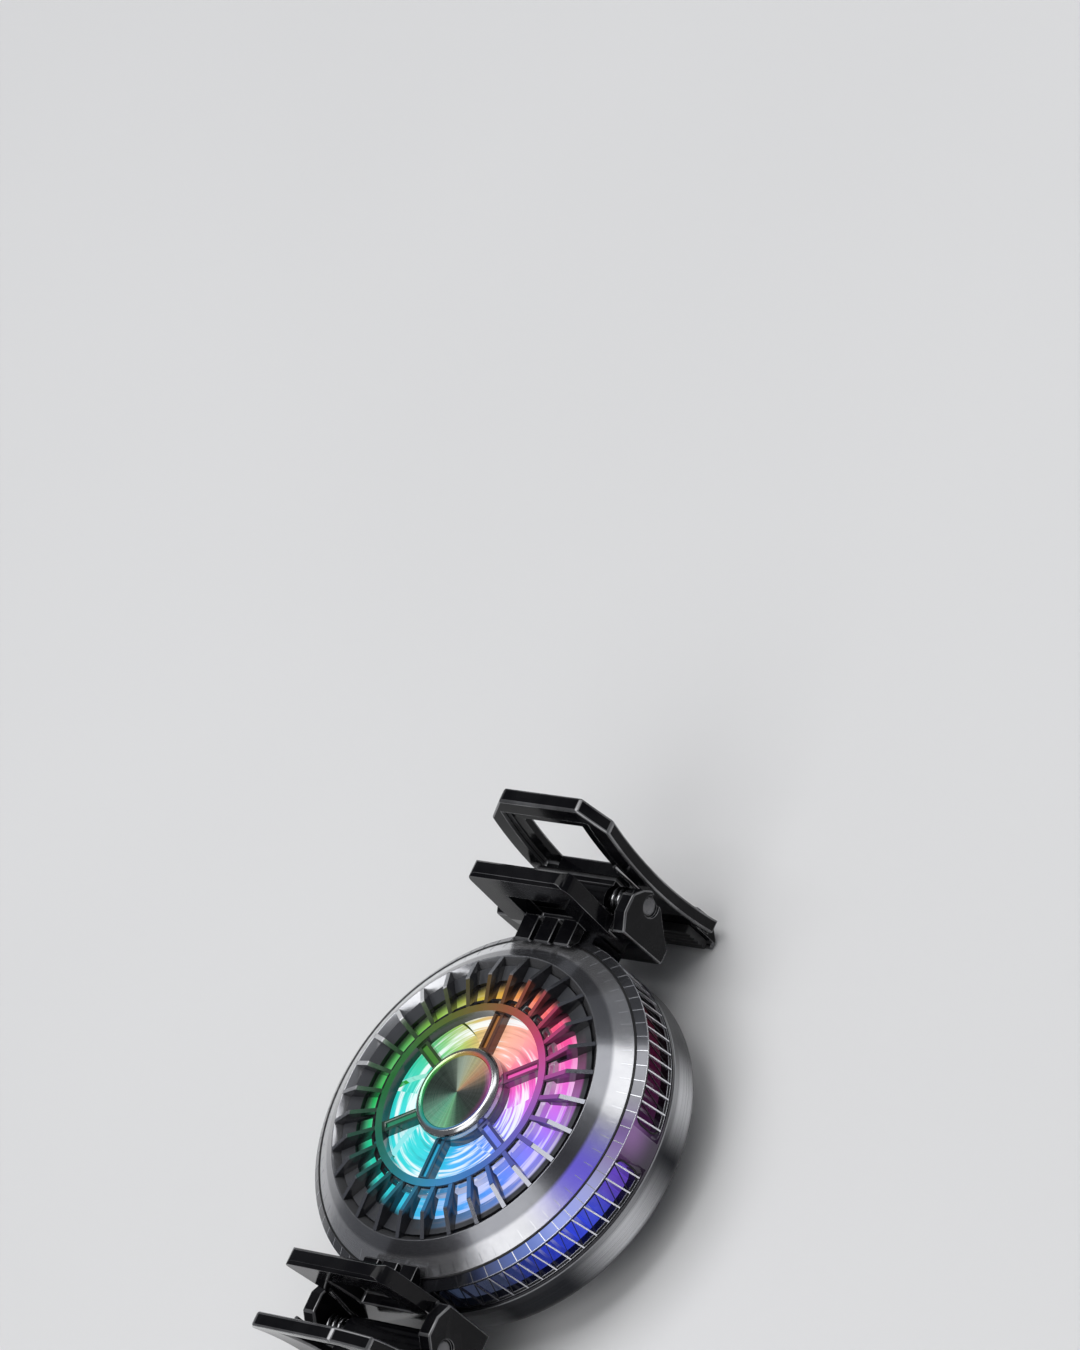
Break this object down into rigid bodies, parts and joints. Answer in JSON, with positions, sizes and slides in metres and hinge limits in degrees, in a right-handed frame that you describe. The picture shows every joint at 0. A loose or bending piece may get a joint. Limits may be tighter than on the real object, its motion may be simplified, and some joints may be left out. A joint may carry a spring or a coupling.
{
  "type": "phone cooling fan",
  "caption": "Round clip-on phone cooler with a cold plate, finned sink and lit blower behind a radial-rib grille; a sprung claw on each side grips the phone's edges.",
  "frame": {"origin": "centre of the cold face that lies on the phone's back", "axes": "+Z along the fan's axis, out of the grille; +Y towards the upper clip; +X along the phone's length"},
  "size_m": [0.06, 0.091, 0.0356],
  "materials": {
    "gunmetal": "satin metallic",
    "cold_pad_silicone": "matt",
    "aluminium": "satin",
    "magnet": "plated",
    "circuit_board": "solder mask",
    "steel": "plain",
    "module_ceramic": "fired ceramic",
    "foam": "closed-cell foam",
    "copper_winding": "enamelled",
    "bronze": "sintered",
    "wheel_plastic": "gloss",
    "smoke_plastic": "smoked, gloss",
    "white_board": "solder mask",
    "light_guide": "milky",
    "grille_black": "gloss",
    "brushed_disc": "circular brushing",
    "polished_trim": "polished",
    "clip_black": "gloss",
    "jaw_rubber": "matt",
    "black_steel": "black oxide",
    "spring_steel": "bright wire"
  },
  "bodies": {
    "fan_body": {"rear_ring": "gunmetal", "thermal_pad": "cold_pad_silicone", "cold_plate": "aluminium", "magnet_ring": "magnet", "control_board": "circuit_board", "usb_c_port": "steel", "tec_module": "module_ceramic", "insulating_gasket": "foam", "heat_sink": "aluminium", "clamp_screws": "steel", "motor_stator": "copper_winding", "sleeve_bearing": "bronze", "side_housing": "smoke_plastic", "led_board": "white_board", "light_ring": "light_guide", "front_bezel": "smoke_plastic", "front_grille": "grille_black", "hub_disc": "brushed_disc", "hub_trim_ring": "polished_trim", "upper_bracket": "clip_black", "upper_hinge_pin": "black_steel", "upper_spring": "spring_steel", "lower_bracket": "clip_black", "lower_hinge_pin": "black_steel", "lower_spring": "spring_steel"},
    "blower": {"impeller": "wheel_plastic", "rotor_magnet": "magnet", "motor_shaft": "steel"},
    "upper_claw_body": {"upper_claw": "clip_black", "upper_jaw_pad": "jaw_rubber"},
    "lower_claw_body": {"lower_claw": "clip_black", "lower_jaw_pad": "jaw_rubber"}
  },
  "joints": [
    {"name": "blower_spin", "type": "hinge", "parent": "fan_body", "child": "blower", "pos_m": [0, 0, 0.01], "axis": [0, 0, 1], "continuous": true},
    {"name": "upper_claw_hinge", "type": "hinge", "parent": "fan_body", "child": "upper_claw_body", "pos_m": [0, 0.0373, 0.0125], "axis": [1, 0, 0], "range_deg": [-12, 27], "stiffness_Nm_per_rad": 0.04, "springref_deg": -60.16, "deforming": ["upper_spring"]},
    {"name": "lower_claw_hinge", "type": "hinge", "parent": "fan_body", "child": "lower_claw_body", "pos_m": [0, -0.0373, 0.0125], "axis": [-1, 0, 0], "range_deg": [-12, 27], "stiffness_Nm_per_rad": 0.04, "springref_deg": -60.16, "deforming": ["lower_spring"]}
  ]
}
